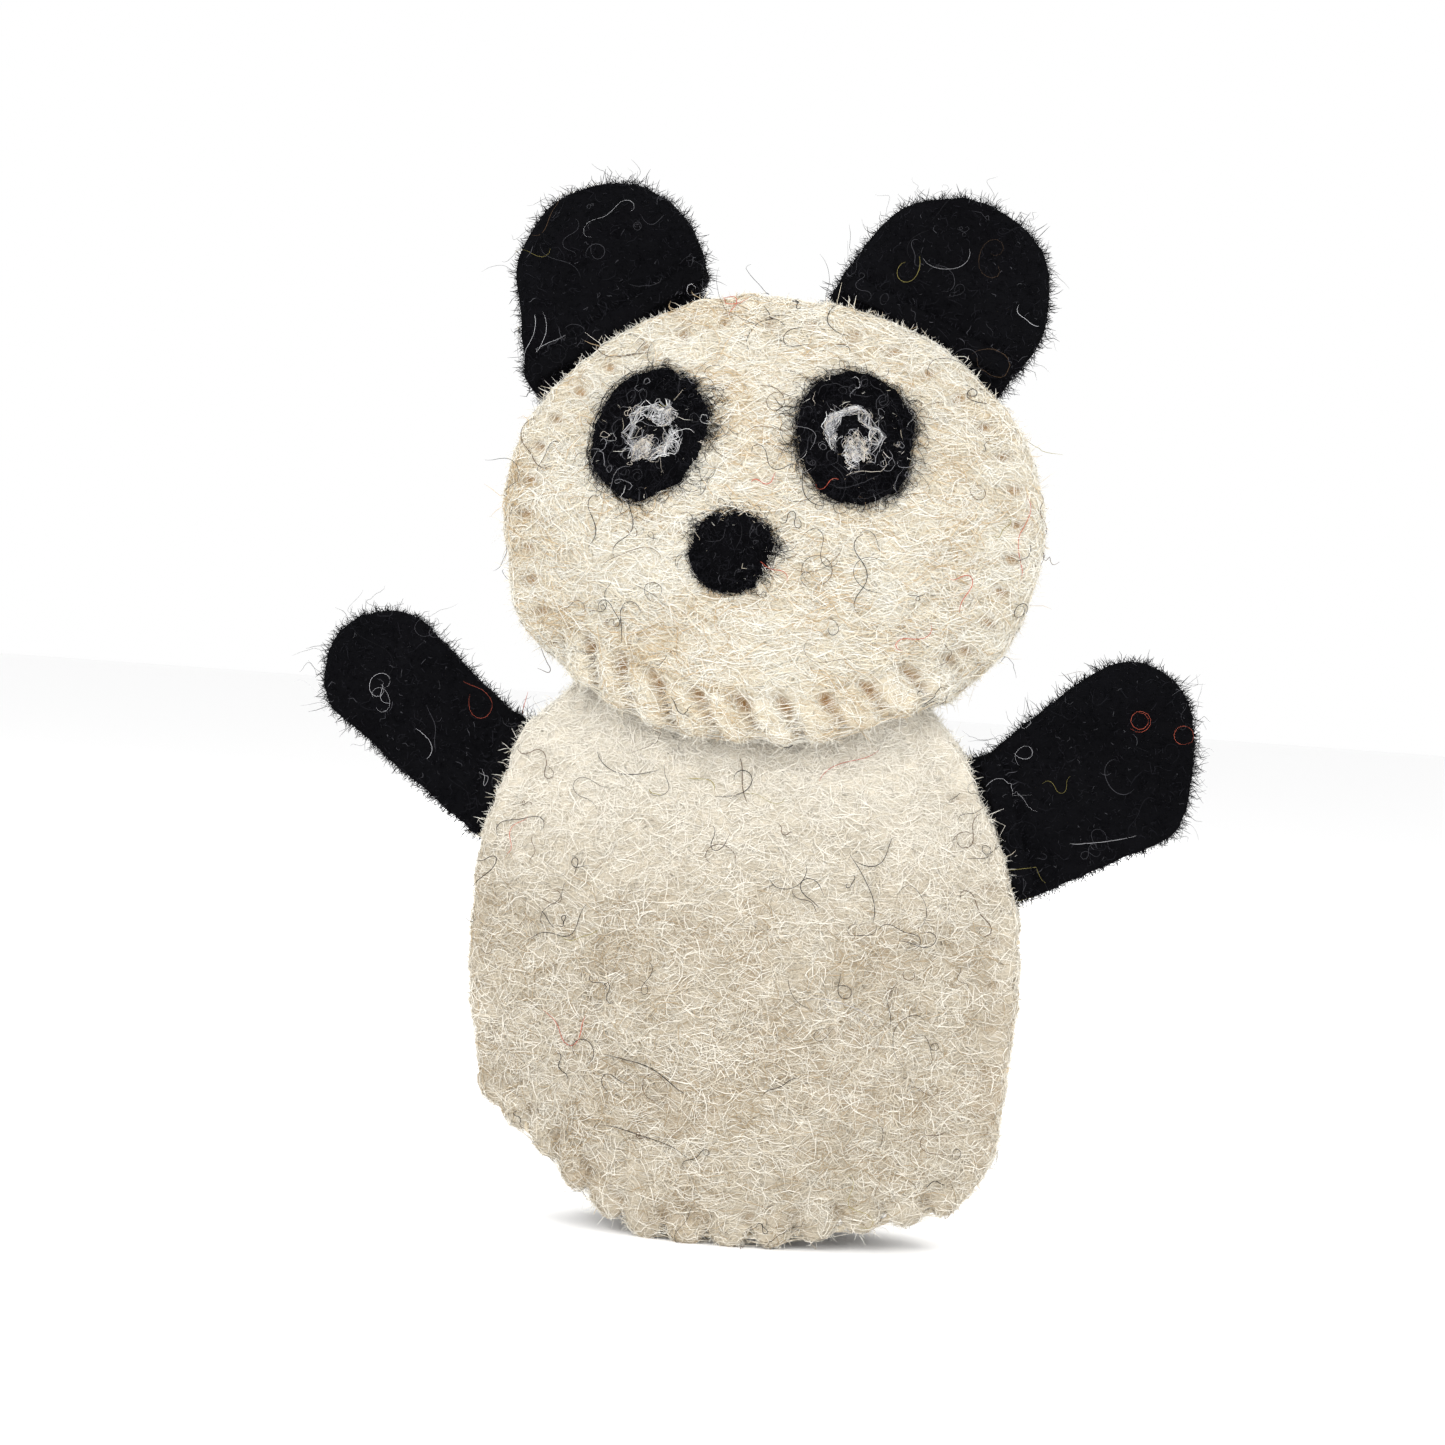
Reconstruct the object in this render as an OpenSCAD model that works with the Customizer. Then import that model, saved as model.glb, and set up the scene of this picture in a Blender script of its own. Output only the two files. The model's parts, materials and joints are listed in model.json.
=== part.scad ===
// Panda finger puppet, hand sewn from thick wool felt.
// Millimetres, +Z up, the face looks along -Y.
// The origin is the middle of the finger pocket's mouth, level with the lowest point of the hem.

/* [Felt] */
// Thickness of the wool felt
felt_t = 2; // [1.6:0.1:2.2]
// Thickness of the sewing thread
thread_d = 0.8; // [0.5:0.1:1]
// Distance between stitches along an edge
stitch_pitch = 4; // [3:0.5:6]

/* [Body] */
// Width across the side seams
body_w = 51.6; // [48:0.2:54]
// Depth of the finger pocket at its fullest
pocket_d = 15.2; // [13:0.2:16]
// Height of the line about which the head nods
neck_z = 49.6; // [48.6:0.2:51.6]
// Half width of the body where it goes up into the head, left and right
neck_half = [20.9, 18.8];
// Rise of the hem at the left corner
hem_rise_left = 11; // [6:0.5:14]
// Rise of the hem at the right corner
hem_rise_right = 9; // [4:0.5:12]

/* [Head] */
// Width of the head
head_w = 50.4; // [48:0.2:53]
// Height of the head
head_h = 40.6; // [38:0.2:43]
// Height of the head's centre
head_z = 66.8; // [65.6:0.2:67.6]
// Depth of the padded head from front felt to back felt
head_d = 20; // [18:0.5:21]
// Share by which each cheek is wider than an oval, left and right
cheek = [0.09, 0.045];

/* [Ears and arms] */
// Tip radius of the ears, left and right
ear_tip_r = [9, 9.3];
// Lean of each ear's root line from level, in degrees
ear_lean = [35, 25];
// Half the length of each arm's root line
arm_half = [6.1, 7.1];
// Tilt of each arm's root line from level, in degrees
arm_lean = [77, 71];

/* [Face] */
// Distance of the left and right eye patches from the middle
eye_x = [11, 8];
// Height of the eye patches above the head's centre
eye_up = [6.6, 7.5];
// Width and height of an eye patch
eye_size = [10.4, 12.6];
// Lean of each eye patch away from upright, in degrees
eye_lean = [26, 18];
// Diameter of the nose
nose_d = 8.8; // [8:0.2:11]

/* [Hidden] */

half_t = felt_t / 2;
seam_gap = 0.1;                 // half the gap between two felts sewn together
tab_gap = half_t + 0.05;        // half the gap where a tab is sewn between them
tab_depth = 4;                  // how far a tab goes in between two felts
bend_clear = half_t + 0.35;     // from a bend line to the sewn edges
root_clear = half_t + 0.2;      // from a bend line to the edge of its own tab
arm_zone = [31.4, 47.4];        // heights between which the arm tabs are sewn in
shoulder_z = [28.6, 29.6];      // height where each side starts to draw in
skirt_z = [28, 22];             // height under which each side draws in again
skirt_in = [4.2, 1.8];          // how far it draws in at the hem
neck_bulge = 3.9;               // fullness of the neck at its middle
neck_sweep = 40;                // degrees of round neck below the nod line, at the middle
full_z = 31.6;                  // height above which the pocket narrows
hem_level = 0.3;                // share of the left half of the hem that is level
side_flat = 0.97;               // share of the width that bulges, the rest is seam
neck_clear = 0.9;               // running gap between the head's skirt and the neck
rim_arc = 80;                   // half angle of the head outline's rows
loop_in = 2.1;                  // centre of an edge stitch, in from the edge it wraps
through_in = 2.4;               // a stitch straight through, in from the edge
hem_turn = 32;                  // turn of the hem stitches across the half width, in degrees
ear_shift = 4;                  // an ear sits this far down the rim from its root line's foot
ear_half = 9.2;                 // half the length of an ear's root
ear_tip = [[-2.6, 3.9], [0.6, 3.3]];      // tip centre along and out from the root line
arm_left_tips = [[-6.1, 13, 6]];          // along the root line, out from it, and radius
arm_right_tips = [[-6, 13, 6], [0.2, 12.1, 5]];
arm_root_z = [40.9, 39.8];      // height of the middle of each arm's root line
cheek_z = 13;                   // a cheek's middle is this far below the head's centre
cheek_reach = 9;                // and it fades out this far above and below that
LEFT = 0;
RIGHT = 1;
$fn = 32;

function smooth(t) = let (c = min(1, max(0, t))) c * c * (3 - 2 * c);
function bump(t, a, b, s) = smooth((t - a + s) / s) * smooth((b + s - t) / s);
function unit(v) = v / norm(v);
function join3(a, b) = pow(pow(a, 3) + pow(b, 3), 1 / 3);
function spread(n) = [for (i = [0:n]) sin(-90 + 180 * i / n)];

// ---- felt sheets: a grid of points on the middle of the felt, given thickness ----
function along(g, i, j) = g[i][min(j + 1, len(g[i]) - 1)] - g[i][max(j - 1, 0)];
function across(g, i, j) = g[min(i + 1, len(g) - 1)][j] - g[max(i - 1, 0)][j];
function lifted(g, d) = [for (i = [0:len(g) - 1]) [for (j = [0:len(g[i]) - 1])
    g[i][j] + d * unit(cross(along(g, i, j), across(g, i, j)))]];
function mirrored(g) = [for (row = g) [for (j = [len(row) - 1:-1:0]) [row[j].x, -row[j].y, row[j].z]]];

module between(front, back) {
    rows = len(front);
    cols = len(front[0]);
    n = rows * cols;
    function a(i, j) = i * cols + j;
    function b(i, j) = n + i * cols + j;
    polyhedron(
        points = [for (row = front) each row, for (row = back) each row],
        faces = [
            for (i = [0:rows - 2]) for (j = [0:cols - 2]) each [
                [a(i, j), a(i + 1, j), a(i, j + 1)], [a(i, j + 1), a(i + 1, j), a(i + 1, j + 1)],
                [b(i, j), b(i, j + 1), b(i + 1, j)], [b(i, j + 1), b(i + 1, j + 1), b(i + 1, j)]],
            for (j = [0:cols - 2]) each [
                [a(0, j), a(0, j + 1), b(0, j)], [b(0, j), a(0, j + 1), b(0, j + 1)],
                [a(rows - 1, j), b(rows - 1, j), a(rows - 1, j + 1)],
                [b(rows - 1, j), b(rows - 1, j + 1), a(rows - 1, j + 1)]],
            for (i = [0:rows - 2]) each [
                [a(i, 0), b(i, 0), a(i + 1, 0)], [b(i, 0), b(i + 1, 0), a(i + 1, 0)],
                [a(i, cols - 1), a(i + 1, cols - 1), b(i, cols - 1)],
                [b(i, cols - 1), a(i + 1, cols - 1), b(i + 1, cols - 1)]]],
        convexity = 6);
}

module felt_sheet(g, t = felt_t) {
    between(lifted(g, t / 2), lifted(g, -t / 2));
}

// ---- body ----
function side_of(u) = u < 0 ? LEFT : RIGHT;
function body_half_w(z, side) = body_w / 2
    - (body_w / 2 - neck_half[side])
        * smooth((z - shoulder_z[side]) / (neck_z - shoulder_z[side]) * 0.9) / smooth(0.9)
    - skirt_in[side] * pow(max(0, 1 - z / skirt_z[side]), 1.5);
function hem_z(u) =
    u < 0 ? hem_rise_left * pow(max(0, -u - hem_level) / (1 - hem_level), 1.15)
          : hem_rise_right * (0.46 * pow(u, 1.5) + 0.54 * pow(u, 14));
function crown(u) = pow(max(0, 1 - pow(u / side_flat, 2)), 1.4);
function arm_gap(z) = seam_gap + (tab_gap - seam_gap) * bump(z, arm_zone[0], arm_zone[1], 2);
function neck_r(u) = half_t + arm_gap(neck_z) + neck_bulge * crown(u);
function neck_turn(u) = neck_sweep * (1 - u * u);
function body_mid(u, z) =
    let (foot = neck_z - neck_r(u) * sin(neck_turn(u)),
         rim = half_t + arm_gap(z),
         full = rim - (arm_gap(z) - seam_gap) * smooth(1.9 - 2.5 * abs(u)) + pocket_d / 2 * crown(u),
         waist = neck_r(u) * cos(neck_turn(u)))
    z > foot ? sqrt(pow(neck_r(u), 2) - pow(neck_z - z, 2))
             : max(rim, full + (waist - full) * smooth((z - full_z) / (foot - full_z)));
function body_point(u, z) = [u * body_half_w(z, side_of(u)), -body_mid(u, z), z];
function neck_point(u, a) =
    [u * neck_half[side_of(u)], -neck_r(u) * cos(a), neck_z + neck_r(u) * sin(a)];
function body_grid() = [
    for (k = [0:16]) [for (u = spread(24)) body_point(u, hem_z(u) + (neck_z - hem_z(u)) * k / 16)],
    for (k = [1:4]) [for (u = spread(24)) neck_point(u, k * 20)]];

module body_front_panel() color([0.86, 0.82, 0.74]) felt_sheet(body_grid());
module body_back_panel() color([0.84, 0.80, 0.72]) felt_sheet(mirrored(body_grid()));

// ---- thread ----
// A loop over an edge: half a ring whose open side faces -X, with its ends in the felt
module edge_loop(r) {
    rotate([0, 0, -90]) rotate_extrude(angle = 180) translate([r, 0]) circle(d = thread_d);
    for (s = [-1, 1]) translate([0, s * r, 0]) sphere(d = thread_d);
}

module through_stitch(half_len) {
    rotate([90, 0, 0]) cylinder(d = thread_d, h = 2 * half_len, center = true);
}

module side_seam_thread(side) {
    out = side == LEFT ? -1 : 1;
    low = max(hem_rise_left, hem_rise_right) + 2;
    for (z = [low:stitch_pitch:arm_zone[0] - 1.5])
        translate([out * (body_half_w(z, side) - loop_in), 0, z]) rotate([0, 0, side == LEFT ? 180 : 0])
            edge_loop(felt_t + seam_gap + thread_d / 4);
    for (z = [arm_zone[0] + 2.5:stitch_pitch:arm_zone[1] - 2])
        translate([out * (body_half_w(z, side) - through_in), 0, z])
            through_stitch(tab_gap + felt_t + thread_d / 2);
}

module hem_thread(front) {
    for (x = [-5:5]) {
        u = x * stitch_pitch / (body_w / 2);
        z = hem_z(u);
        translate([u * body_half_w(z, side_of(u)), front * -body_mid(u, z), z + half_t + thread_d])
            rotate([0, 90, 90 - front * hem_turn * u]) edge_loop(half_t + thread_d / 2);
    }
}

module side_seam_thread_left() color([0.93, 0.90, 0.82]) side_seam_thread(LEFT);
module side_seam_thread_right() color([0.93, 0.90, 0.82]) side_seam_thread(RIGHT);
module hem_thread_front() color([0.93, 0.90, 0.82]) hem_thread(1);
module hem_thread_back() color([0.93, 0.90, 0.82]) hem_thread(-1);

// ---- tongues: ears and arms, in a frame with X down the root line and Z outward ----
module tongue_flap(half, tips) {
    rotate([90, 0, 0]) linear_extrude(felt_t, center = true) intersection() {
        hull() {
            translate([-half, 0]) square([2 * half, 0.1]);
            for (tip = tips) translate([tip[0], tip[1]]) circle(tip[2], $fn = 64);
        }
        translate([-2 * half, 0]) square(4 * half);
    }
    rotate([0, 90, 0]) cylinder(d = felt_t, h = 2 * half, center = true);
}

module tongue_root(half, depth) {
    rotate([90, 0, 0]) linear_extrude(felt_t, center = true)
        polygon([[-half, -root_clear], [half, -root_clear], [half - 1, -depth], [1 - half, -depth]]);
}

// ---- arms ----
module at_arm(side) {
    x = body_half_w(arm_root_z[side], side) + bend_clear / sin(arm_lean[side]);
    mirror([side == LEFT ? 1 : 0, 0, 0])
        translate([x, 0, arm_root_z[side]]) rotate([0, arm_lean[side], 0]) children();
}

module arm_left_root() color([0.06, 0.06, 0.07]) at_arm(LEFT) tongue_root(arm_half[LEFT], tab_depth + 1);
module arm_right_root() color([0.06, 0.06, 0.07]) at_arm(RIGHT) tongue_root(arm_half[RIGHT], tab_depth + 1);
module arm_left_flap() color([0.05, 0.05, 0.06]) at_arm(LEFT) tongue_flap(arm_half[LEFT], arm_left_tips);
module arm_right_flap() color([0.05, 0.05, 0.06]) at_arm(RIGHT) tongue_flap(arm_half[RIGHT], arm_right_tips);

// ---- head ----
half_w = head_w / 2;
half_h = head_h / 2;

function rim_angle(x, z) = atan2((z - head_z) / half_h, x / half_w);
function rim_w(z, side) =
    let (t = (z - head_z + cheek_z) / cheek_reach)
    half_w * (1 + cheek[side] * pow(max(0, 1 - t * t), 2));
function rim_share(x, z) = min(1, norm([x / rim_w(z, side_of(x)), (z - head_z) / half_h]));
function ear_gap(x, z) =
    let (t = rim_angle(x, z), sewn = max(bump(t, 34, 80, 9), bump(t, 107, 152, 9)))
    seam_gap + (tab_gap - seam_gap) * sewn * smooth((rim_share(x, z) - 0.6) / 0.2);
function dome(x, z) =
    let (puff = pow(max(0, 1 - pow(rim_share(x, z) / side_flat, 2.7)), 1.15))
    half_t + ear_gap(x, z) + (head_d / 2 - felt_t - seam_gap) * puff;
function skirt(x, z) =
    let (u = min(1, abs(x) / neck_half[LEFT]), r = neck_r(u) + felt_t + neck_clear)
    sqrt(max(0, r * r - pow(z - neck_z, 2)));
function head_mid(x, z) = join3(dome(x, z), skirt(x, z));
function head_point(x, z) = [x, -head_mid(x, z), z];
function head_row_z(a) = head_z + half_h * sin(a);
function head_x(u, a) = u * rim_w(head_row_z(a), side_of(u)) * cos(a);
function head_bottom(x) =
    let (z = head_z - half_h * sqrt(1 - pow(x / half_w, 2)))
    head_z - half_h * sqrt(1 - pow(x / rim_w(z, side_of(x)), 2));
function head_grid(reach = 1) = [
    for (a = [-rim_arc:8:rim_arc]) [
        for (u = spread(24)) head_point(reach * head_x(u, a), head_z + reach * (head_row_z(a) - head_z))]];

module face_panel() color([0.94, 0.90, 0.80]) felt_sheet(head_grid());
module head_back_panel() color([0.91, 0.87, 0.77]) felt_sheet(mirrored(head_grid()));

// Wool filling, held off the felt by a hair and cut clear of the rounded neck
module head_stuffing() {
    front = lifted(head_grid(0.93), -half_t - 0.15);
    color([0.95, 0.93, 0.88]) difference() {
        between(front, [for (row = front) [for (p = row) [p.x, -p.y, p.z]]]);
        translate([0, 0, neck_z]) rotate([0, 90, 0])
            cylinder(r = neck_r(0) + half_t + neck_clear / 2, h = head_w, center = true, $fn = 64);
    }
}

module head_seam_thread() {
    step = stitch_pitch / ((half_w + half_h) / 2) * 180 / PI;
    color([0.93, 0.90, 0.82]) for (a = [-38:step:218]) {
        x = cos(a) * rim_w(head_row_z(a), side_of(cos(a)));
        z = head_row_z(a);
        out = atan2(sin(a) / half_h, cos(a) / half_w);
        sewn_tab = ear_gap(x, z) > tab_gap - 0.3;
        translate([x, 0, z]) rotate([0, -out, 0]) translate([sewn_tab ? -through_in : -loop_in, 0, 0])
            if (sewn_tab) through_stitch(tab_gap + felt_t + thread_d / 2);
            else edge_loop(felt_t + ear_gap(x, z) + thread_d / 4);
    }
}

// Slanting overcast stitches along the head's lower edge, clear of the neck behind them
module neck_thread(front) {
    color([0.93, 0.90, 0.82]) for (k = [-4:4]) {
        x = k * stitch_pitch;
        z = head_bottom(x);
        y = head_mid(x, z + 1);
        translate([x, -front * (y + thread_d / 4), z + 1.5]) rotate([0, 22, 0])
            rotate([0, 90, 90 - front * 1.6 * x]) edge_loop(half_t + thread_d / 3);
    }
}

module neck_thread_front() neck_thread(1);
module neck_thread_back() neck_thread(-1);

// ---- face ----
function oval_grid(c, size, lean, lift) = [
    for (a = [-rim_arc:16:rim_arc]) [for (u = spread(10))
        let (p = [u * size.x / 2 * cos(a), size.y / 2 * sin(a)],
             x = c.x + p.x * cos(lean) + p.y * sin(lean),
             z = c.y - p.x * sin(lean) + p.y * cos(lean))
        [x, -head_mid(x, z) - half_t - lift, z]]];

function eye_centre(side) = [(side == LEFT ? -1 : 1) * eye_x[side], head_z + eye_up[side]];
function eye_turn(side) = (side == LEFT ? 1 : -1) * eye_lean[side];

module eye_patch(side) color([0.05, 0.05, 0.06])
    felt_sheet(oval_grid(eye_centre(side), eye_size, eye_turn(side), 0.2), 1);

// A wisp of white wool laid in an arc, and a spot of cream wool below it
module eye_ring(side) {
    c = eye_centre(side);
    y = head_mid(c.x, c.y) + half_t + 0.9;
    color([0.80, 0.79, 0.78]) translate([c.x, -y, c.y + 1.2])
        rotate([90, 30, 0]) rotate_extrude(angle = 210) translate([2.5, 0]) circle(d = 1.4);
}

module eye_spot(side) {
    c = eye_centre(side);
    y = head_mid(c.x, c.y) + half_t + 0.5;
    color([0.86, 0.82, 0.74]) translate([c.x - 0.3, -y, c.y + 0.2]) sphere(d = 2.6);
}

module eye_patch_left() eye_patch(LEFT);
module eye_patch_right() eye_patch(RIGHT);
module eye_ring_left() eye_ring(LEFT);
module eye_ring_right() eye_ring(RIGHT);
module eye_spot_left() eye_spot(LEFT);
module eye_spot_right() eye_spot(RIGHT);

module nose() {
    x = -2.4;
    z = head_z - 3.5;
    cap_r = nose_d * 0.72;
    sink = sqrt(cap_r * cap_r - nose_d * nose_d / 4);
    color([0.04, 0.04, 0.05]) translate([x, -head_mid(x, z) - half_t + 0.5, z]) rotate([90, 0, 0])
        difference() {
            translate([0, 0, -sink]) sphere(cap_r, $fn = 64);
            translate([0, 0, -cap_r]) cube(2 * cap_r, center = true);
        }
}

// ---- ears ----
module at_ear(side) {
    lean = ear_lean[side];
    out = norm([half_w * sin(lean), half_h * cos(lean)]) + bend_clear;
    mirror([side == LEFT ? 1 : 0, 0, 0]) translate([0, 0, head_z]) rotate([0, lean, 0])
        translate([ear_shift, 0, out]) children();
}

module ear_root(side) {
    color([0.06, 0.06, 0.07]) at_ear(side) tongue_root(ear_half, tab_depth + 3);
}

module ear_left_root() ear_root(LEFT);
module ear_right_root() ear_root(RIGHT);
module ear_flap(side) {
    color([0.05, 0.05, 0.06]) at_ear(side) tongue_flap(ear_half, [[each ear_tip[side], ear_tip_r[side]]]);
}

module ear_left_flap() ear_flap(LEFT);
module ear_right_flap() ear_flap(RIGHT);

body_front_panel();
body_back_panel();
side_seam_thread_left();
side_seam_thread_right();
hem_thread_front();
hem_thread_back();
arm_left_root();
arm_right_root();
arm_left_flap();
arm_right_flap();
face_panel();
head_back_panel();
head_stuffing();
head_seam_thread();
neck_thread_front();
neck_thread_back();
nose();
eye_patch_left();
eye_patch_right();
eye_ring_left();
eye_ring_right();
eye_spot_left();
eye_spot_right();
ear_left_root();
ear_right_root();
ear_left_flap();
ear_right_flap();
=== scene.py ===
"""Panda finger puppet sewn from thick wool felt: the looks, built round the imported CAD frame.

Units are metres. The face looks along -Y, and the origin is the mouth of the finger pocket.
"""
import json
import math
from collections import namedtuple

import bmesh
import bpy
import numpy as np
from mathutils import Matrix, Vector, noise
from mathutils.bvhtree import BVHTree


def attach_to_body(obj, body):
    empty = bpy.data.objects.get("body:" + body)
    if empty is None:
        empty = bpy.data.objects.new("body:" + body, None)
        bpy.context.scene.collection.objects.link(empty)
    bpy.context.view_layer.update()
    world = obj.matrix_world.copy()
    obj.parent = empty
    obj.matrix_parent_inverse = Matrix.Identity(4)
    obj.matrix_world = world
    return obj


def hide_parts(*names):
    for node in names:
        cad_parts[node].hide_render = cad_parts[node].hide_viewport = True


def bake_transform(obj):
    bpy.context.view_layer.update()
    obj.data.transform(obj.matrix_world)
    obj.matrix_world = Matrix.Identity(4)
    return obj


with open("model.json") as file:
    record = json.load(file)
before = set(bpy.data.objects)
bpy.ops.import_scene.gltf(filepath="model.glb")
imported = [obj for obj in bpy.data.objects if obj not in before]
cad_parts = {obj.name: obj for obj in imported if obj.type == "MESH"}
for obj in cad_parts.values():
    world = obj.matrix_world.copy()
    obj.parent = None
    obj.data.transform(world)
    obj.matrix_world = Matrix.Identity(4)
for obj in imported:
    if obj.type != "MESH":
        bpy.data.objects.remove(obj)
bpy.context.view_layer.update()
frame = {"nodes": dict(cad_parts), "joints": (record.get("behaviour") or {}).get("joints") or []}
rng = np.random.default_rng(20)

MM = 0.001
FELT = 2.0 * MM
THREAD_D = 0.8 * MM
NECK_LIGHT_FROM, NECK_LIGHT_TO = 26 * MM, 46 * MM     # painted light: the body's felt and wool pale between these heights, lifting the head's shadow
# The paler colour that painted light mixes into the body's felt near the neck.
NECK_LIGHT = (0.78, 0.73, 0.62)
SEAM_GAP = 0.45 * MM         # about what rounding takes off the edge of a panel
FIBRES = 7600                # in one layer of nap, under the mesh export's limit on faces
CROSSING = 0.45              # a fibre that meets more stain and painted shade than this crosses a groove
STRAY_STEPS = 18             # points along a stray fibre
WISP_STEPS = 12              # points along a fibre of the eyes' wisps
HOLE_INSET = 1.2 * MM        # from the middle of a stitch over the edge in to its needle hole
PHOTO_WIDTH = 135.8 * MM     # width of the view where the puppet stands
LENS = 85.0
SENSOR = 36.0
CAMERA_AZIMUTH = 7.0         # degrees towards the puppet's own left side
CAMERA_ELEVATION = 1.0
CAMERA_ROLL = 4.0            # the worn puppet leans to the right
AIM = Vector((-3.4, 0.0, 47.4)) * MM
FRONT = np.array([0.0, -1.0, 0.0])
BACK = -FRONT
UP = np.array([0.0, 0.0, 1.0])
JOINTS = {joint["name"]: joint for joint in frame["joints"]}

# Wool's shades with their shares, how blotchy they lie, and how much painted light pales them towards
# the neck.
Wool = namedtuple("Wool", "shades shares blotchy paler", defaults=(0.0, 0.0))


# ---------------------------------------------------------------- materials
def add_node(tree, kind, **values):
    """A shader node with its properties and unlinked inputs set by name."""
    node = tree.nodes.new(kind)
    for name, value in values.items():
        if name in node.inputs:
            node.inputs[name].default_value = value
        else:
            setattr(node, name, value)
    return node


def new_material(name, roughness, sheen=0.0, specular=0.2):
    """A principled material with no other nodes: returns it with its tree and shader."""
    material = bpy.data.materials.new(name)
    material.use_nodes = True
    tree = material.node_tree
    shader = tree.nodes["Principled BSDF"]
    shader.inputs["Roughness"].default_value = roughness
    shader.inputs["Specular IOR Level"].default_value = specular
    shader.inputs["Sheen Weight"].default_value = sheen
    shader.inputs["Sheen Roughness"].default_value = 0.5
    return material, tree, shader


def strand_material(name, colour, roughness):
    """One plain wool colour for loose strands, whose look comes from their shape."""
    material, _, shader = new_material(name, roughness, 0.0, 0.15 if max(colour) > 0.02 else 0.03)
    shader.inputs["Base Color"].default_value = (*colour, 1.0)
    return material


def ramp(tree, source, stops):
    """A colour ramp fed by source, from (place, colour) stops."""
    node = add_node(tree, "ShaderNodeValToRGB")
    elements = node.color_ramp.elements
    while len(elements) < len(stops):
        elements.new(0.5)
    for element, (place, colour) in zip(elements, stops):
        element.position = place
        element.color = (*colour, 1.0)
    tree.links.new(source, node.inputs["Fac"])
    return node.outputs["Color"]


def blend_colours(tree, factor, a, b, mode="MIX"):
    """Mixes socket or colour b over socket or colour a by a socket or number."""
    node = add_node(tree, "ShaderNodeMix", data_type="RGBA", blend_type=mode)
    for value, socket in ((factor, node.inputs[0]), (a, node.inputs[6]), (b, node.inputs[7])):
        if isinstance(value, bpy.types.NodeSocket):
            tree.links.new(value, socket)
        elif isinstance(value, tuple):
            socket.default_value = (*value, 1.0)
        else:
            socket.default_value = value
    return node.outputs[2]


def maths(tree, operation, *values):
    """A maths node on sockets or numbers."""
    node = add_node(tree, "ShaderNodeMath", operation=operation)
    for value, socket in zip(values, node.inputs):
        if isinstance(value, bpy.types.NodeSocket):
            tree.links.new(value, socket)
        else:
            socket.default_value = value
    return node.outputs[0]


def fibre_lines(tree, place, angle, width, length, seed):
    """Thin ridged lines along one direction: matted fibres lying on the felt."""
    bend = add_node(tree, "ShaderNodeTexNoise", Scale=0.5 / length, Detail=1.0)
    tree.links.new(place, bend.inputs["Vector"])
    warp = add_node(tree, "ShaderNodeVectorMath", operation="MULTIPLY_ADD")
    tree.links.new(bend.outputs["Color"], warp.inputs[0])
    warp.inputs[1].default_value = (length,) * 3
    tree.links.new(place, warp.inputs[2])
    turn = add_node(tree, "ShaderNodeMapping")
    turn.inputs["Location"].default_value = (seed, seed * 0.7, seed * 1.3)
    turn.inputs["Rotation"].default_value = (0.0, angle, 0.0)
    turn.inputs["Scale"].default_value = (1.0 / length, 0.4 / width, 1.0 / width)
    tree.links.new(warp.outputs[0], turn.inputs["Vector"])
    lines = add_node(tree, "ShaderNodeTexNoise", Scale=1.0, Detail=2.0, Roughness=0.6)
    tree.links.new(turn.outputs["Vector"], lines.inputs["Vector"])
    centred = maths(tree, "SUBTRACT", lines.outputs["Fac"], 0.5)
    ridges = maths(tree, "MULTIPLY", maths(tree, "ABSOLUTE", centred), 9.0)
    return maths(tree, "SUBTRACT", 1.0, ridges)


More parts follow.
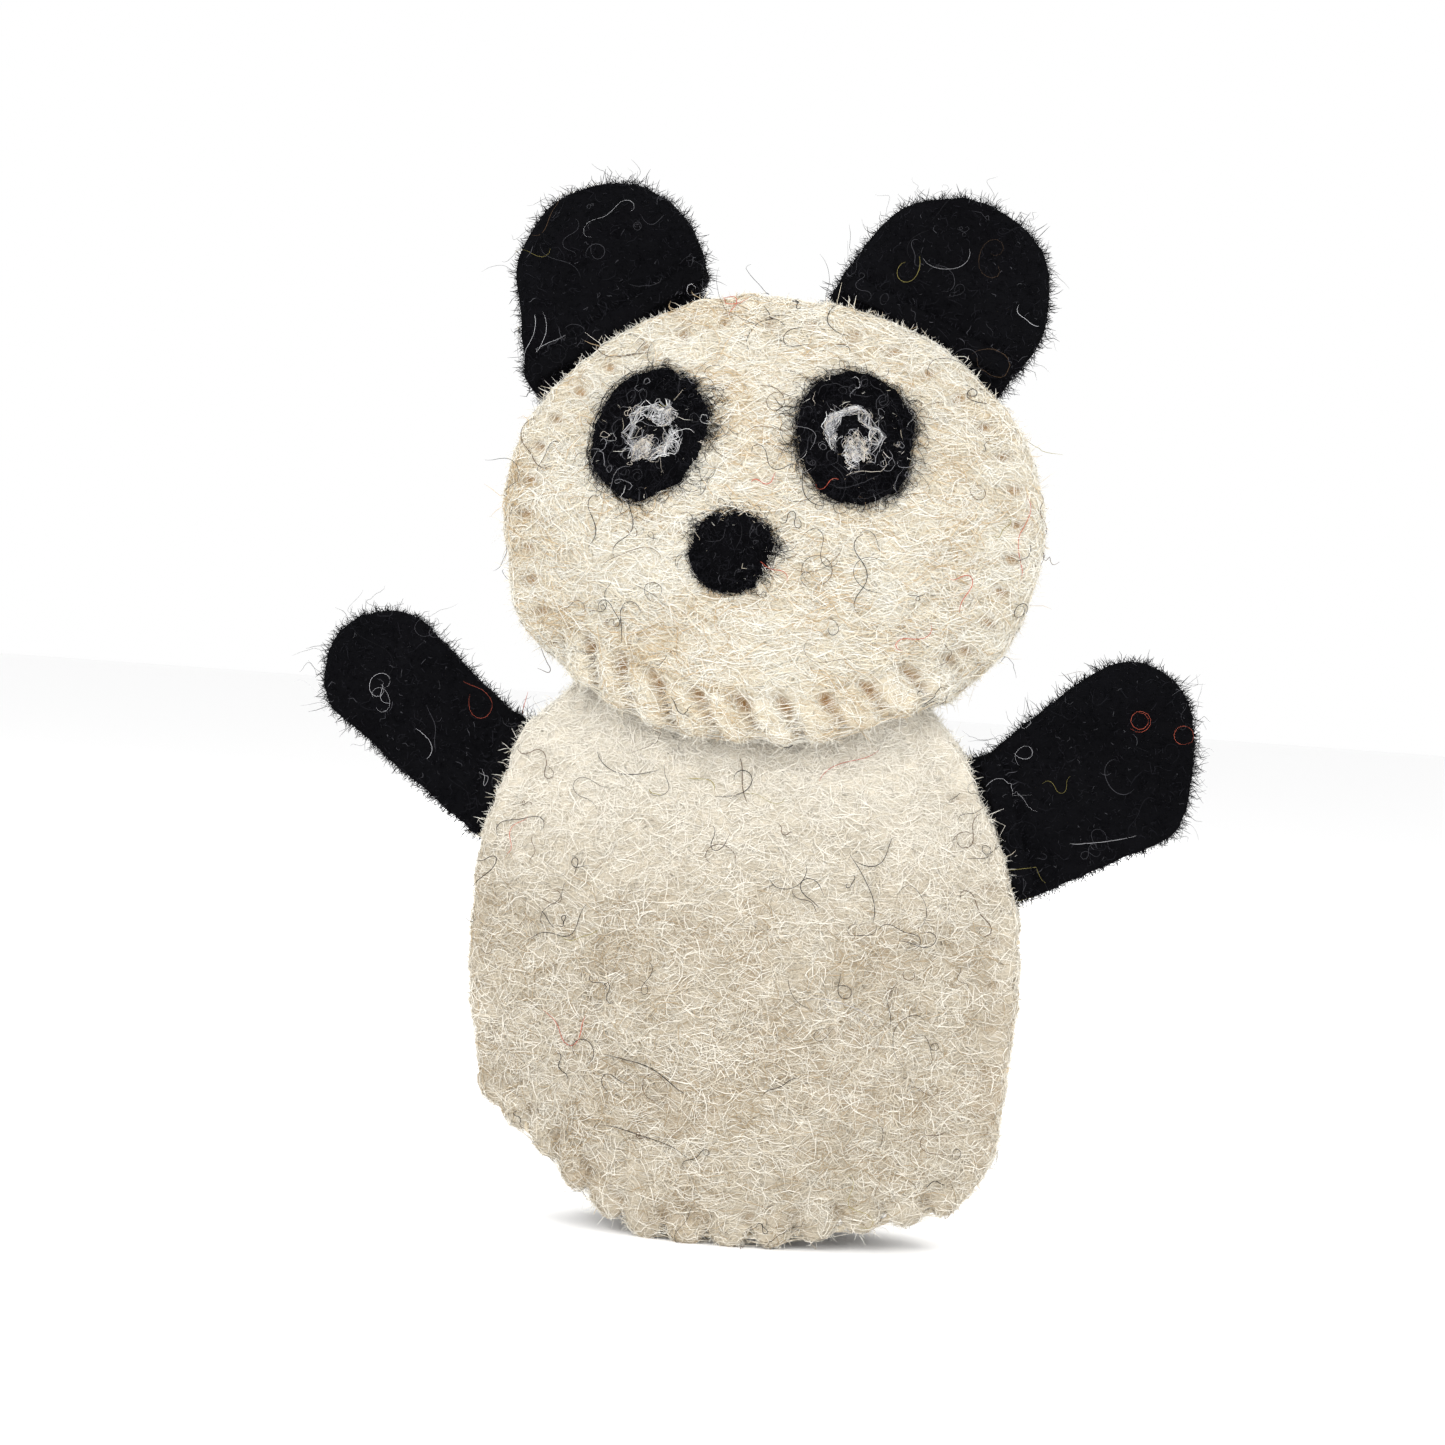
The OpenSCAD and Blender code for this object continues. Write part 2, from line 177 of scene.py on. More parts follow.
def felt_material(name, light, mid, dark, stain_and_shade, bump, paler=0.0, sheen=0.08, specular=0.1):
    """Matted wool: crossed fibre lines over soft mottling, with painted shade and brownish stain in
    stitch pits.

    paler is how much painted light pales the felt towards the neck.
    """
    material, tree, shader = new_material(name, 0.95, sheen, specular)
    place = add_node(tree, "ShaderNodeTexCoord").outputs["Object"]
    lines = None
    for k, angle in enumerate((0.15, 1.2, 2.2)):
        layer = fibre_lines(tree, place, angle, 0.16 * MM, 1.6 * MM, 3.1 * k + 1.0)
        lines = layer if lines is None else maths(tree, "MAXIMUM", lines, layer)
    blotch = add_node(tree, "ShaderNodeTexNoise", Scale=95.0, Detail=3.0, Roughness=0.55)
    tree.links.new(place, blotch.inputs["Vector"])
    speck = add_node(tree, "ShaderNodeTexNoise", Scale=900.0, Detail=3.0, Roughness=0.7)
    tree.links.new(place, speck.inputs["Vector"])
    ground = ramp(tree, blotch.outputs["Fac"], ((0.36, dark), (0.5, mid), (0.66, light)))
    grain = ramp(tree, speck.outputs["Fac"], ((0.3, (0.72,) * 3), (0.7, (1.12,) * 3)))
    base = blend_colours(tree, 0.8, ground, grain, "MULTIPLY")
    clear = maths(tree, "MULTIPLY", maths(tree, "MAXIMUM", lines, 0.0), 0.55)
    base = blend_colours(tree, clear, base, light)
    # Painted light: the felt pales towards the neck, lifting the shade under the head.
    if paler:
        height = add_node(tree, "ShaderNodeSeparateXYZ")
        tree.links.new(place, height.inputs[0])
        fade = add_node(tree, "ShaderNodeMapRange", interpolation_type="SMOOTHSTEP")
        fade.inputs["From Min"].default_value = NECK_LIGHT_FROM
        fade.inputs["From Max"].default_value = NECK_LIGHT_TO
        fade.inputs["To Max"].default_value = paler
        tree.links.new(height.outputs["Z"], fade.inputs["Value"])
        base = blend_colours(tree, fade.outputs["Result"], base, NECK_LIGHT)
    # Painted shade with some brownish stain: the tan in stitch pits and grooves and under lower edges.
    pits = add_node(tree, "ShaderNodeAttribute", attribute_name="stain_and_shade")
    base = blend_colours(tree, pits.outputs["Fac"], base, stain_and_shade)
    tree.links.new(base, shader.inputs["Base Color"])
    relief = maths(tree, "ADD", maths(tree, "MAXIMUM", lines, 0.0), speck.outputs["Fac"])
    bumps = add_node(tree, "ShaderNodeBump", Strength=bump, Distance=0.15 * MM)
    tree.links.new(relief, bumps.inputs["Height"])
    tree.links.new(bumps.outputs["Normal"], shader.inputs["Normal"])
    return material


# ---------------------------------------------------------------- meshes
def new_object(name, mesh):
    piece = bpy.data.objects.new(name, mesh)
    bpy.context.collection.objects.link(piece)
    return piece


def copy_nodes(name, nodes, extra=None):
    """One new mesh holding the shapes of some CAD nodes."""
    shape = bmesh.new()
    for node in nodes:
        shape.from_mesh(frame["nodes"][node].data)
    if extra:
        extra(shape)
    bmesh.ops.remove_doubles(shape, verts=shape.verts, dist=1e-6)
    mesh = bpy.data.meshes.new(name)
    shape.to_mesh(mesh)
    shape.free()
    return new_object(name, mesh)


def apply_modifier(piece, kind, **settings):
    """Adds a modifier with its settings and bakes it into the mesh."""
    modifier = piece.modifiers.new(kind.lower(), kind)
    for key, value in settings.items():
        setattr(modifier, key, value)
    with bpy.context.temp_override(object=piece, active_object=piece, selected_objects=[piece]):
        bpy.ops.object.modifier_apply(modifier=modifier.name)


def soften(piece, voxel, rounds):
    """Remeshes a hard solid evenly and rounds its edges as felt rounds them."""
    apply_modifier(piece, "REMESH", mode="VOXEL", voxel_size=voxel, adaptivity=0.0)
    apply_modifier(piece, "SMOOTH", factor=0.5, iterations=rounds)


def vectors(piece, name):
    """The vertices' positions ("co") or normals ("normal"), one row each."""
    values = np.empty(len(piece.data.vertices) * 3)
    piece.data.vertices.foreach_get(name, values)
    return values.reshape(-1, 3)


def move_points(piece, co):
    piece.data.vertices.foreach_set("co", co.ravel())
    piece.data.update()


def unit(v):
    return v / np.maximum(np.linalg.norm(v, axis=-1, keepdims=True), 1e-12)


def smoothstep(a, b, t):
    s = np.clip((t - a) / (b - a), 0.0, 1.0)
    return s * s * (3 - 2 * s)


def close_seam(piece, out):
    """Brings the edge of a rounded panel back to the seam that it shares with the other panel."""
    co = vectors(piece, "co")
    from_seam = co @ out
    closer = from_seam - SEAM_GAP * np.exp(-np.maximum(from_seam, 0) / MM)
    closer = np.maximum(closer, np.minimum(from_seam, 0.02 * MM))
    move_points(piece, co + (closer - from_seam)[:, None] * out)


def roughen(piece, *layers):
    """Low lumps all over, as hand-made felt has, from (size, height) layers."""
    co, normals = vectors(piece, "co"), vectors(piece, "normal")
    lift = np.zeros(len(co))
    for size, height in layers:
        lift += height * np.array([noise.noise(Vector(point / size)) for point in co])
    move_points(piece, co + normals * lift[:, None])


def islands(node):
    """The box of each separate solid in a CAD node, as rows of low and high corners."""
    mesh = frame["nodes"][node].data
    shape = bmesh.new()
    shape.from_mesh(mesh)
    bmesh.ops.remove_doubles(shape, verts=shape.verts, dist=1e-6)
    boxes, seen = [], set()
    for vertex in shape.verts:
        if vertex in seen:
            continue
        stack, group = [vertex], []
        seen.add(vertex)
        while stack:
            here = stack.pop()
            group.append(here.co.copy())
            for edge in here.link_edges:
                other = edge.other_vert(here)
                if other not in seen:
                    seen.add(other)
                    stack.append(other)
        group = np.array(group)
        boxes.append((group.min(axis=0), group.max(axis=0)))
    shape.free()
    return boxes


# ---------------------------------------------------------------- stitching
def needle_holes(node, outward, inset):
    """Where each stitch of a node goes through, and the way from there to the felt's edge."""
    holes, ways = [], []
    for low, high in islands(node):
        middle = (low + high) / 2
        way = unit(outward(middle) * np.array([1.0, 0.0, 1.0]))
        # A loop over the edge is longer than it is thick, and its hole is further in than its middle.
        wraps = max(high[0] - low[0], high[2] - low[2]) > 1.4 * THREAD_D
        holes.append(middle - way * inset if wraps else middle)
        ways.append(way)
    return np.array(holes), np.array(ways)


def sew(piece, holes, ways, out, dimple, groove, scallop):
    """Pulls the felt in round each needle hole and along the thread over its edge, and paints shade
    with some brownish stain into the pits and grooves.
    """
    co, normals = vectors(piece, "co"), vectors(piece, "normal")
    outer = smoothstep(-0.3, 0.4, normals @ out)
    press = np.zeros(len(co))
    stain_and_shade = np.zeros(len(co))
    pull = np.zeros_like(co)      # how far the thread scallops the cut edge
    for hole, way in zip(holes, ways):
        away = (co - hole) * np.array([1.0, 0.0, 1.0])
        along = away @ way
        across = np.linalg.norm(away - along[:, None] * way, axis=1)
        pit = np.exp(-(along / (0.85 * MM)) ** 2 - (across / (0.5 * MM)) ** 2)
        line = np.exp(-across ** 2 / (2 * (0.42 * MM) ** 2)) * smoothstep(-0.2 * MM, 0.8 * MM, along)
        line *= 1 - smoothstep(4.5 * MM, 5.5 * MM, along)
        press = np.maximum(press, np.maximum(dimple * pit, groove * line))
        # Painted shade, with some brownish stain, in each pit and along each thread's groove.
        pit_stain_and_shade = np.maximum(1.5 * dimple / MM * pit ** 1.5, groove / MM * line)
        stain_and_shade = np.maximum(stain_and_shade, pit_stain_and_shade)
        edge = np.exp(-np.abs(across / (0.55 * MM)) ** 1.3) * smoothstep(0.3 * MM, 1.6 * MM, along)
        pull -= scallop * edge[:, None] * way * (1 - smoothstep(4.5 * MM, 5.5 * MM, along))[:, None]
    move_points(piece, co - normals * (press * outer)[:, None] + pull)
    add_stain_and_shade(piece, stain_and_shade * outer)


def stain_and_shade_levels(piece):
    """How much stain and painted shade each point of the felt has, from 0 to 1."""
    amount = np.zeros(len(piece.data.vertices))
    layer = piece.data.attributes.get("stain_and_shade")
    if layer:
        layer.data.foreach_get("value", amount)
    return amount


# Adds painted shade and brownish stain, keeping the strongest at each point.
def add_stain_and_shade(piece, amount):
    amount = np.clip(np.maximum(stain_and_shade_levels(piece), amount), 0, 1)
    layer = piece.data.attributes.get("stain_and_shade") or piece.data.attributes.new("stain_and_shade", "FLOAT", "POINT")
    layer.data.foreach_set("value", amount)


def tufts(piece, out, reach, pitch, tall, slant, bulge, notch, stain_and_shade):
    """Soft lumps between the stitches over a panel's lower edge, with grooves between them in painted
    shade and stain.

    reach is half the seam's width, pitch a lump's width, tall its height, slant its lean, bulge
    how far it stands out, and notch how far the edge is drawn up between two lumps.
    """
    co, normals = vectors(piece, "co"), vectors(piece, "normal")
    rim_x = np.linspace(-reach, reach, 81)
    rim = np.array([co[np.abs(co[:, 0] - x) < 0.8 * MM, 2].min() for x in rim_x])
    run = np.hypot(np.gradient(rim_x), np.gradient(rim))
    tilt = np.interp(co[:, 0], rim_x, np.gradient(rim_x) / run)
    height = (co[:, 2] - np.interp(co[:, 0], rim_x, rim)) * tilt
    phase = (np.interp(co[:, 0], rim_x, np.cumsum(run)) + slant * (height - 0.4 * tall)) / pitch
    uneven = np.array([noise.noise(Vector((k * 3.7, 0.5, 0.2))) for k in np.round(phase)])
    tall = tall * (1 + 0.3 * uneven)
    off = 2 * np.abs(phase - np.round(phase))
    ends = 1 - smoothstep(reach - 3 * MM, reach, np.abs(co[:, 0]))
    dome = np.sqrt(np.clip(1 - 0.9 * off ** 2 - ((height - 0.35 * tall) / (0.75 * tall)) ** 2, 0, 1))
    groove = np.exp(-((1 - off) / 0.23) ** 2) * (1 - smoothstep(0.8 * tall, 1.15 * tall, height))
    hole = np.exp(-((1 - off) / 0.32) ** 2 - ((height - 0.95 * tall) / (0.24 * tall)) ** 2)
    lift = bulge * (dome - 0.45 * groove - 0.55 * hole) * smoothstep(-0.3, 0.4, normals @ out) * ends
    co += normals * lift[:, None]
    tuck = (1 - np.sqrt(1 - off ** 2)) * (1 - smoothstep(0, 0.9 * tall, height))
    co[:, 2] += notch * tuck * tilt ** 2 * ends
    move_points(piece, co)
    # Painted shade, with some brownish stain, in the grooves and holes and along the very lower edge
    # where the panel lies over what is under it.
    under = 0.5 * (1 - smoothstep(-0.1 * MM, 0.5 * MM, height))
    add_stain_and_shade(piece, stain_and_shade * np.maximum(0.65 * groove + hole, under) * ends)


def sunk_thread(name, node, body, shrink=0.68):
    """The stitches themselves, drawn down into the felt by a share of their size."""
    piece = copy_nodes(name, [node])
    co = vectors(piece, "co")
    for low, high in islands(node):
        inside = np.all((co > low - 1e-5) & (co < high + 1e-5), axis=1)
        middle = (low + high) / 2
        co[inside] = middle + (co[inside] - middle) * shrink
    move_points(piece, co)
    roughen(piece, (0.9 * MM, 0.12 * MM))
    finish_felt(piece, THREAD, "thread", node)
    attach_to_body(piece, body)


# ---------------------------------------------------------------- strands
def attach(piece, body):
    """Rides on one body; where body is (parent, child, start, end), it stays where it is, with no
    bending.
    """
    if isinstance(body, str):
        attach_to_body(piece, body)
    else:
        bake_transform(piece)


def strand_mesh(name, body, paths, radii, kinds, materials):
    """Loose wool as closed three-sided tubes along paths (strands, points, 3), with radii for each."""
    count, steps, _ = paths.shape
    along = unit(np.gradient(paths, axis=1))
    side = unit(np.cross(along, unit(rng.normal(size=(count, 1, 3)))))
    rise = np.cross(along, side)
    taper = np.interp(np.linspace(0, 1, steps), [0, 0.15, 0.8, 1], [0.5, 1, 0.9, 0.3])
    thick = radii * taper[None, :]
    angles = np.arange(3) * 2 * math.pi / 3
    ring = np.cos(angles)[:, None] * side[:, :, None] + np.sin(angles)[:, None] * rise[:, :, None]
    co = paths[:, :, None, :] + thick[:, :, None, None] * ring
    faces = []
    for k in range(steps - 1):
        for j in range(3):
            a, b = 3 * k + j, 3 * k + (j + 1) % 3
            faces += [(a, b, a + 3), (b, b + 3, a + 3)]
    last = 3 * (steps - 1)
    faces += [(0, 2, 1), (last, last + 1, last + 2)]
    faces = np.array(faces)
    index = (faces[None] + (np.arange(count) * steps * 3)[:, None, None]).reshape(-1)
    mesh = bpy.data.meshes.new(name)
    mesh.vertices.add(count * steps * 3)
    mesh.vertices.foreach_set("co", co.ravel())
    mesh.loops.add(len(index))
    mesh.loops.foreach_set("vertex_index", index.astype(np.int32))
    mesh.polygons.add(len(index) // 3)
    mesh.polygons.foreach_set("loop_start", np.arange(0, len(index), 3, dtype=np.int32))
    for material in materials:
        mesh.materials.append(material)
    mesh.polygons.foreach_set("material_index", np.repeat(kinds, len(faces)).astype(np.int32))
    mesh.polygons.foreach_set("use_smooth", [True] * (len(index) // 3))
    mesh.update(calc_edges=True)
    piece = new_object(name, mesh)
    attach(piece, body)
    return piece


def scatter(piece, count, keep):
    """Random points on a mesh with their normals, spread by area times keep.

    Few land where the felt has stain and painted shade.
    """
    mesh = piece.data
    mesh.calc_loop_triangles()
    corners = np.empty(len(mesh.loop_triangles) * 3, int)
    mesh.loop_triangles.foreach_get("vertices", corners)
    corners = corners.reshape(-1, 3)
    stained_and_shaded = stain_and_shade_levels(piece)[corners].mean(axis=1)
    corners = vectors(piece, "co")[corners]
    cross = np.cross(corners[:, 1] - corners[:, 0], corners[:, 2] - corners[:, 0])
    normals = unit(cross)
    areas = np.linalg.norm(cross, axis=1) * keep(corners.mean(axis=1), normals)
    areas *= (1 - 0.95 * stained_and_shaded) ** 2
    chosen = rng.choice(len(areas), count, p=areas / areas.sum())
    u, v = rng.random((2, count, 1))
    flip = (u + v) > 1
    u, v = np.where(flip, 1 - u, u), np.where(flip, 1 - v, v)
    a, b, c = corners[chosen].transpose(1, 0, 2)
    return a + u * (b - a) + v * (c - a), normals[chosen]


def surface_tree(*pieces):
    """A tree that finds the nearest point on some pieces."""
    shape = bmesh.new()
    for piece in pieces:
        shape.from_mesh(piece.data)
    tree = BVHTree.FromBMesh(shape)
    shape.free()
    return tree


def laid(paths, tree, lift):
    """Paths pulled onto the surface and lifted off it, with the faces that they then lie on."""
    flat = paths.reshape(-1, 3)
    lift = np.broadcast_to(lift, paths.shape[:2]).ravel()
    result = np.empty_like(flat)
    under = np.empty(len(flat), int)
    for k, point in enumerate(flat):
        near, normal, under[k], _ = tree.find_nearest(point)
        result[k] = near + normal * lift[k]
    return result.reshape(paths.shape), under.reshape(paths.shape[:2])


def curls(start, normals, lengths, turns, steps, heading, rise=0.0, wobble=0.5):
    """Curling paths: each turns steadily in its own tangent plane, and may rise off it."""
    count = len(start)
    reference = unit(np.cross(normals, UP + 1e-3 * rng.normal(size=(count, 3))))
    other = np.cross(normals, reference)
    step = np.linspace(0, 1, steps)[None, :]
    sway = rng.normal(0, wobble, (count, 1)) * np.sin(step * rng.uniform(3, 9, (count, 1)))
    bearing = heading[:, None] + turns[:, None] * (step - 0.5) + sway
    walk = (np.cos(bearing)[..., None] * reference[:, None]
            + np.sin(bearing)[..., None] * other[:, None])
    climb = np.broadcast_to(rise, count)[:, None, None]
    walk = walk * np.cos(climb) + normals[:, None] * np.sin(climb)
    stride = (lengths / (steps - 1))[:, None, None]
    ends = np.cumsum(walk[:, :-1] * stride, axis=1)
    return start[:, None] + np.concatenate([np.zeros((count, 1, 3)), ends], axis=1)


def picks(start, wool):
    """The shade of each strand by where it starts."""
    limits = np.cumsum(wool.shares) / np.sum(wool.shares)
    choice = rng.random(len(start))
    if wool.blotchy:
        choice += wool.blotchy * np.array([noise.noise(Vector(point / (5 * MM))) for point in start])
    # Painted light: the strands pale towards the neck, lifting the shade under the head.
    choice -= wool.paler * smoothstep(NECK_LIGHT_FROM, NECK_LIGHT_TO, start[:, 2])
    return np.searchsorted(limits, np.clip(choice, 0, 0.999))


def any_way(count):
    return rng.uniform(0, 2 * math.pi, count)


def mostly_level(count, share):
    """Headings, a share of them near the level lie that carded wool has."""
    level = rng.normal(0, 0.4, count) + math.pi * rng.integers(0, 2, count)
    return np.where(rng.random(count) < share, level, any_way(count))


def outer_face(out):
    """Keeps the side of a panel that shows."""
    def keep(middle, normals):
        return smoothstep(-0.45, -0.1, normals @ out)
    return keep


def cut_edge(out):
    """Keeps the cut edge all round a panel and a little of the face beside it."""
    def keep(middle, normals):
        return smoothstep(-0.6, -0.2, normals @ out) * (1 - smoothstep(0.45, 0.9, normals @ out))
    return keep


def mat_down(piece, name, body, parts, wool, keep, length, level, turn):
    """Fibres felted onto a surface: they arch out of it and go back in.

    length is the shortest and longest, level the share that lie near the level, turn their curl.
    Those that would cross a groove of stain and painted shade are shortened.
    """
    tree = surface_tree(piece)
    corners = np.empty(len(piece.data.loops), int)
    piece.data.loops.foreach_get("vertex_index", corners)
    first = np.empty(len(piece.data.polygons), int)
    piece.data.polygons.foreach_get("loop_start", first)
    stained_and_shaded = np.maximum.reduceat(stain_and_shade_levels(piece)[corners], first)
    for part in range(parts):
        start, normals = scatter(piece, FIBRES, keep)
        lengths = rng.uniform(*length, FIBRES)
        turns = rng.normal(0, turn, FIBRES)
        paths = curls(start, normals, lengths, turns, 5, mostly_level(FIBRES, level))
        arch = np.sin(np.linspace(0.0, math.pi, 5))[None] * rng.random((FIBRES, 1)) * 0.32 * MM
        paths, under = laid(paths, tree, arch - 0.01 * MM)
        crossing = stained_and_shaded[under].max(axis=1) > CROSSING
        origin = start[crossing, None]
        shorter = origin + 0.45 * (paths[crossing] - origin)
        paths[crossing], under[crossing] = laid(shorter, tree, arch[crossing])
        # Fibres thin out over stain and painted shade, so that it shows through.
        radii = 0.035 * MM * rng.uniform(0.5, 1.25, (FIBRES, 1)) * (1 - 0.9 * stained_and_shaded[under])
        strand_mesh(f"{name}_{part + 1}", body, paths, radii, picks(start, wool), wool.shades)


def stand_up(piece, name, body, count, length, wool, keep, radius, slope=0.5):
    """Fibres that stand off a surface at all slopes and make its edges soft."""
    start, normals = scatter(piece, count, keep)
    lengths = length * rng.gamma(2.5, 0.4, count)
    rise = np.abs(rng.normal(slope, 0.4, count))
    paths = curls(start - normals * 0.08 * MM, normals, lengths, rng.normal(0, 2.6, count), 4,
                  any_way(count), rise, 0.9)
    radii = radius * rng.uniform(0.6, 1.2, (count, 1))
    strand_mesh(name, body, paths, radii, picks(start, wool), wool.shades)


def strays(piece, name, body, count, length, wool, keep, radius, loose=0.35, turn=4.0, lift=0.2 * MM):
    """Long single fibres that wander over a surface in loose curls, some leaving it."""
    tree = surface_tree(piece)
    start, normals = scatter(piece, count, keep)
    lengths = rng.uniform(*length, count)
    turns = rng.normal(0, turn, count)
    paths = curls(start, normals, lengths, turns, STRAY_STEPS, any_way(count), 0.0, 1.1)
    wave = np.abs(np.sin(np.linspace(0.2, 1, STRAY_STEPS)[None] * rng.uniform(2, 7, (count, 1))))
    on, _ = laid(paths, tree, lift + 0.4 * MM * rng.random((count, 1)) * wave)
    share = np.linspace(0, 1, STRAY_STEPS)[None, :, None] ** 1.5
    share = share * (rng.random((count, 1, 1)) < loose)
    origin = start[:, None]
    free = origin + (paths - origin) * 0.8 + normals[:, None] * lengths[:, None, None] * 0.35
    paths = on * (1 - share) + free * share
    radii = radius * rng.uniform(0.6, 1.2, (count, 1))
    strand_mesh(name, body, paths, radii, picks(start, wool), wool.shades)


# ---------------------------------------------------------------- colours
def strand_set(prefix, roughness, **shades):
    """Plain wool materials, one for each named shade."""
    return [strand_material(f"{prefix}_{name}", colour, roughness) for name, colour in shades.items()]


# Each felt's fourth colour is the tan of painted shade and brownish stain in its pits and grooves.
CREAM = felt_material("head_wool_felt", (0.71, 0.65, 0.53), (0.63, 0.55, 0.41), (0.53, 0.42, 0.27),
                      (0.42, 0.245, 0.10), 0.8)
# BEIGE's last number is painted light that pales it towards the neck.
BEIGE = felt_material("body_wool_felt", (0.54, 0.48, 0.38), (0.48, 0.41, 0.31), (0.41, 0.33, 0.235),
                      (0.36, 0.24, 0.12), 0.8, 0.6)
BLACK = felt_material("black_wool_felt", (0.0036, 0.0036, 0.0044), (0.0026, 0.0026, 0.0032),
                      (0.0018, 0.0018, 0.0022), (0.0018, 0.0018, 0.0018), 0.5, 0.0, 0.0, 0.02)
THREAD = felt_material("cream_thread", (0.66, 0.57, 0.42), (0.58, 0.48, 0.33), (0.48, 0.37, 0.23),
                       (0.40, 0.27, 0.13), 0.5)
FILLING = felt_material("white_filling", (0.88, 0.86, 0.82), (0.82, 0.80, 0.75), (0.74, 0.71, 0.66),
                        (0.70, 0.66, 0.60), 0.5)

HEAD_WOOL = Wool(strand_set("head_wool", 0.8, ivory=(0.81, 0.785, 0.71), cream=(0.70, 0.635, 0.505),
                            sand=(0.54, 0.41, 0.25)), (0.54, 0.36, 0.10), 0.42)
# Its last number is painted light that pales the body's strands towards the neck.
BODY_WOOL = Wool(strand_set("body_wool", 0.8, ivory=(0.78, 0.74, 0.655), oat=(0.60, 0.54, 0.435),
                            sand=(0.40, 0.315, 0.205)), (0.44, 0.42, 0.14), 0.22, 0.62)
EDGE_WOOL = Wool(HEAD_WOOL.shades, (0.80, 0.18, 0.02))
# ash strands are painted glints: grey fibres standing in for light caught on black wool.
BLACK_WOOL = Wool(strand_set("black_wool", 0.9, deep=(0.0026, 0.0026, 0.0034),
                             soft=(0.013, 0.013, 0.016), ash=(0.055, 0.055, 0.062)), (0.64, 0.33, 0.03))
# Almost a third of these dark strays are ash, painted glints.
DARK_STRAYS = Wool(BLACK_WOOL.shades, (0.3, 0.4, 0.3))
EYE_WOOL = Wool(strand_set("eye_wool", 0.7, white=(0.74, 0.74, 0.74), grey=(0.30, 0.30, 0.32),
                           cream=(0.68, 0.62, 0.53)), (0.50, 0.38, 0.12))
BLOB_WOOL = Wool(EYE_WOOL.shades, (0.30, 0.28, 0.42))
# Its ash and grey shares are painted glints on the black eye patches.
EYE_STRAYS = Wool(BLACK_WOOL.shades + EYE_WOOL.shades, (0.20, 0.35, 0.25, 0.05, 0.12, 0.03))
STRAY_SHADES = strand_set("stray", 0.6, charcoal=(0.016, 0.016, 0.018), brown=(0.09, 0.055, 0.03),
                          red=(0.50, 0.10, 0.06), olive=(0.30, 0.26, 0.08), pale=(0.50, 0.50, 0.52))
ON_CREAM = Wool(STRAY_SHADES, (0.60, 0.25, 0.08, 0.05, 0.02))
ON_BLACK = Wool(STRAY_SHADES, (0.20, 0.12, 0.06, 0.16, 0.46))


def finish_felt(piece, material, slot, *nodes):
    """Gives a piece its one material and smooth shading, and hides the CAD nodes that it stands for;
    slot is not used.
    """
    piece.data.materials.clear()
    piece.data.materials.append(material)
    piece.data.polygons.foreach_set("use_smooth", [True] * len(piece.data.polygons))
    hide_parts(*nodes)


# ---------------------------------------------------------------- body
def across_body(middle):
    """The way from the body's middle line to the side seam that a stitch is on."""
    return np.array([math.copysign(1.0, middle[0]), 0.0, 0.0])


def body_panel(name, node, out):
    """One of the body's two felts, drawn in at the shoulders, with its seam and hem worked in."""
    piece = copy_nodes(name, [node])
    soften(piece, 0.38 * MM, 13)
    close_seam(piece, out)
    co = vectors(piece, "co")
    shoulder = smoothstep(44.5 * MM, 51 * MM, co[:, 2])
    co[:, 0] *= 1 - 0.17 * shoulder * smoothstep(10 * MM, 19 * MM, np.abs(co[:, 0]))
    move_points(piece, co)
    roughen(piece, (9 * MM, 0.5 * MM), (2.2 * MM, 0.16 * MM))
    for thread, dimple, groove, scallop in (
            ("side_seam_thread_left", 0.15 * MM, 0.08 * MM, 0.12 * MM),
            ("side_seam_thread_right", 0.30 * MM, 0.12 * MM, 0.20 * MM)):
        holes, ways = needle_holes(thread, across_body, HOLE_INSET)
        sew(piece, holes, ways, out, dimple, groove, scallop)
    # The last number is how strong the painted shade and stain in the hem's grooves are.
    tufts(piece, out, 23 * MM, 4.0 * MM, 2.4 * MM, 0.15, 0.5 * MM, 1.9 * MM, 0.35)
    finish_felt(piece, BEIGE, "body_felt", node)
    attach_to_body(piece, "torso")
    return piece


def head_panel(name, node, out):
    """One of the head's two felts, with its rim stitched and its lower edge gathered in lumps."""
    piece = copy_nodes(name, [node])
    soften(piece, 0.32 * MM, 20)
    close_seam(piece, out)
    roughen(piece, (9 * MM, 0.5 * MM), (2.2 * MM, 0.16 * MM))
    middle = sum(piece_box(piece)) / 2
    holes, ways = needle_holes("head_seam_thread", lambda point: point - middle, HOLE_INSET)
    sew(piece, holes, ways, out, 0.6 * MM, 0.08 * MM, 0.10 * MM)
    # The last number is how strong the painted shade and stain in the neck's grooves are.
    tufts(piece, out, 19.5 * MM, 3.9 * MM, 3.2 * MM, 0.6, 0.95 * MM, 0.55 * MM, 0.8)
    finish_felt(piece, CREAM, "head_felt", node)
    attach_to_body(piece, "head")
    return piece


def piece_box(piece):
    co = vectors(piece, "co")
    return co.min(axis=0), co.max(axis=0)


body_front = body_panel("body_front_felt", "body_front_panel", FRONT)
body_back = body_panel("body_back_felt", "body_back_panel", BACK)
face = head_panel("face_felt", "face_panel", FRONT)
head_back = head_panel("head_back_felt", "head_back_panel", BACK)

for node, body in (("side_seam_thread_left", "torso"), ("side_seam_thread_right", "torso"),
                   ("hem_thread_front", "torso"), ("hem_thread_back", "torso"),
                   ("head_seam_thread", "head"), ("neck_thread_front", "head"),
                   ("neck_thread_back", "head")):
    sunk_thread(node.replace("thread", "stitches"), node, body)

